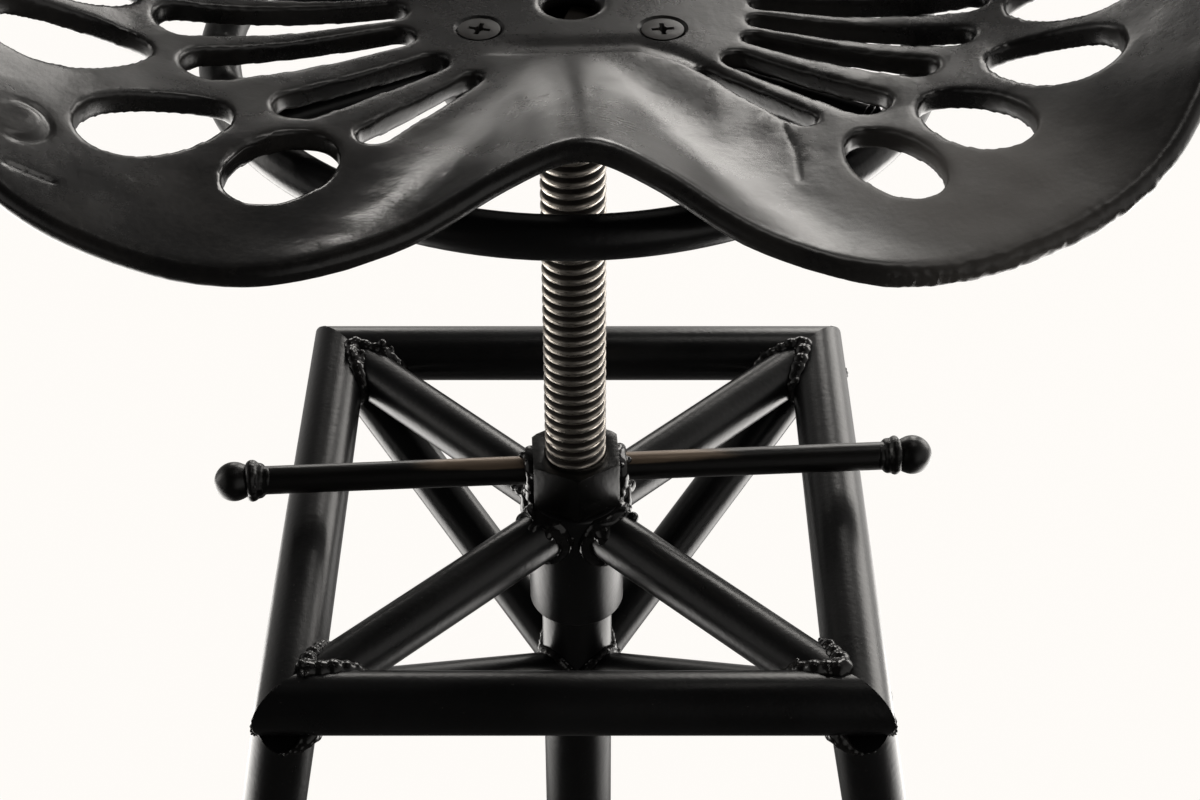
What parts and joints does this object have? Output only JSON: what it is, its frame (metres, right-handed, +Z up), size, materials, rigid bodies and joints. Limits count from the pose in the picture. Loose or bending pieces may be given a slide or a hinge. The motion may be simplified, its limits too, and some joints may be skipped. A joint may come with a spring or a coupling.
{
  "type": "tractor seat stool",
  "caption": "Adjustable stool with a pierced cast tractor seat on a lift screw, a hand hoop, a lock nut with bar handles and a splayed square tube stand.",
  "frame": {"origin": "on the floor, on the lift screw's axis, which is the middle of the four feet", "axes": "+Z up along the lift screw; -Y is the seat's front, where its ridge is; +X is the sitter's left, on the right of the picture"},
  "size_m": [0.4384, 0.4294, 0.7856],
  "materials": {
    "seat_iron": "satin black enamel over a rough casting",
    "frame_paint": "semi-gloss black, brushed on over hand-ground welds",
    "handle_paint": "black, worn brown along the top",
    "hoop_paint": "semi-gloss black",
    "nut_steel": "blackened, oily",
    "screw_steel": "machined thread, greased, with dark roots",
    "bare_steel": "plain",
    "seat_screw_steel": "blackened countersunk screw",
    "foot_rubber": "matt"
  },
  "bodies": {
    "stand": {"top_rail_back": "frame_paint", "top_rail_left": "frame_paint", "top_rail_front": "frame_paint", "top_rail_right": "frame_paint", "upper_brace_back_right": "frame_paint", "upper_brace_back_left": "frame_paint", "upper_brace_front_left": "frame_paint", "upper_brace_front_right": "frame_paint", "lower_brace_back_right": "frame_paint", "lower_brace_back_left": "frame_paint", "lower_brace_front_left": "frame_paint", "lower_brace_front_right": "frame_paint", "leg_back_right": "frame_paint", "leg_back_left": "frame_paint", "leg_front_left": "frame_paint", "leg_front_right": "frame_paint", "foot_rail_back": "frame_paint", "foot_rail_left": "frame_paint", "foot_rail_front": "frame_paint", "foot_rail_right": "frame_paint", "foot_cap_back_right": "foot_rubber", "foot_cap_back_left": "foot_rubber", "foot_cap_front_left": "foot_rubber", "foot_cap_front_right": "foot_rubber", "threaded_collar": "frame_paint", "guide_tube": "frame_paint"},
    "screw_carrier": {"stop_washer": "bare_steel"},
    "lock": {"lock_nut": "nut_steel", "handle_rod_right": "handle_paint", "handle_rod_left": "handle_paint", "handle_ball_right": "handle_paint", "handle_ball_left": "handle_paint"},
    "seat_and_screw": {"tractor_seat": "seat_iron", "hand_hoop": "hoop_paint", "seat_hub": "hoop_paint", "lift_screw": "screw_steel", "stop_bolt": "bare_steel", "hoop_spoke_1": "hoop_paint", "hoop_spoke_2": "hoop_paint", "hoop_spoke_3": "hoop_paint", "seat_screw_1": "seat_screw_steel", "seat_screw_2": "seat_screw_steel", "seat_screw_3": "seat_screw_steel"}
  },
  "joints": [
    {"name": "screw_rise", "type": "slide", "parent": "stand", "child": "screw_carrier", "axis": [0, 0, 1], "range_m": [-0.18, 0.043]},
    {"name": "seat_turn", "type": "hinge", "parent": "screw_carrier", "child": "seat_and_screw", "pos_m": [0, 0, 0.48], "axis": [0, 0, 1], "range_deg": [-12950, 3090]},
    {"name": "lock_nut_turn", "type": "hinge", "parent": "stand", "child": "lock", "pos_m": [0, 0, 0.48], "axis": [0, 0, 1], "range_deg": [0, 90]}
  ],
  "couplings": [
    {"joint": "screw_rise", "follows": "seat_turn", "m_per_rad": 0.00079577}
  ]
}
